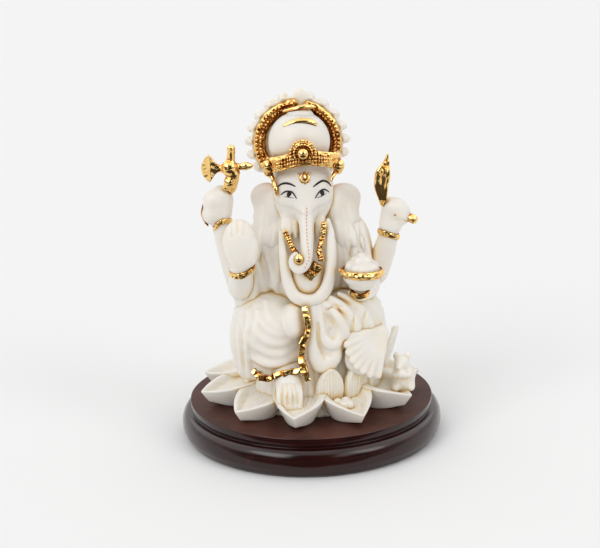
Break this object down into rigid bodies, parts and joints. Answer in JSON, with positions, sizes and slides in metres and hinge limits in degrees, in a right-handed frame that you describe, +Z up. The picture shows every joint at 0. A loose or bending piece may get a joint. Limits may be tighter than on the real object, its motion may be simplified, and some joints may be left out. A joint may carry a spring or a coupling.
{
  "type": "ganesha idol",
  "caption": "Seated four-armed elephant-headed figure in white cast resin with gilt ornaments, on a lotus and a round turned wooden plinth.",
  "frame": {"origin": "centre of the underside of the felt pad, on the plinth's axis", "axes": "+Z up, the figure faces -Y, its own left hand is towards +X"},
  "size_m": [0.1, 0.1, 0.1331],
  "materials": {
    "marble_resin": "satin, cast from bonded marble powder, cream wash in the creases",
    "gilt": "bright gilt with brown wash in the recesses",
    "lacquered_wood": "dark mahogany gloss lacquer",
    "felt": "matt pressed felt",
    "screw_steel": "zinc plated"
  },
  "bodies": {
    "root": {"aura_plate": "marble_resin", "aura_ring": "gilt", "axe": "gilt", "bowl": "marble_resin", "bowl_rim": "gilt", "bowl_sweets": "marble_resin", "crown_band": "gilt", "crown_dome": "marble_resin", "crown_knob": "marble_resin", "crown_medallion": "gilt", "crown_rings": "gilt", "crown_side_ornaments": "gilt", "dhoti_hem": "gilt", "felt_pad": "felt", "fixing_screws": "screw_steel", "goad": "gilt", "head": "marble_resin", "inner_petal_01": "marble_resin", "inner_petal_02": "marble_resin", "inner_petal_03": "marble_resin", "inner_petal_04": "marble_resin", "inner_petal_05": "marble_resin", "inner_petal_06": "marble_resin", "inner_petal_07": "marble_resin", "left_ear": "marble_resin", "left_front_arm": "marble_resin", "left_front_bangle": "gilt", "left_leg": "marble_resin", "left_rear_arm": "marble_resin", "left_rear_bangle": "gilt", "lotus_core": "marble_resin", "mouse": "marble_resin", "necklace": "gilt", "outer_petal_01": "marble_resin", "outer_petal_02": "marble_resin", "outer_petal_03": "marble_resin", "outer_petal_04": "marble_resin", "outer_petal_05": "marble_resin", "outer_petal_06": "marble_resin", "outer_petal_07": "marble_resin", "outer_petal_08": "marble_resin", "outer_petal_09": "marble_resin", "outer_petal_10": "marble_resin", "outer_petal_11": "marble_resin", "pendant": "gilt", "petal_offering": "marble_resin", "plinth": "lacquered_wood", "right_ear": "marble_resin", "right_foot": "marble_resin", "right_front_arm": "marble_resin", "right_front_bangle": "gilt", "right_leg": "marble_resin", "right_rear_arm": "marble_resin", "right_rear_bangle": "gilt", "sash_fan": "marble_resin", "shawl_roll": "marble_resin", "tilak": "gilt", "torso": "marble_resin", "trunk": "marble_resin", "trunk_sweet": "gilt"}
  },
  "joints": []
}
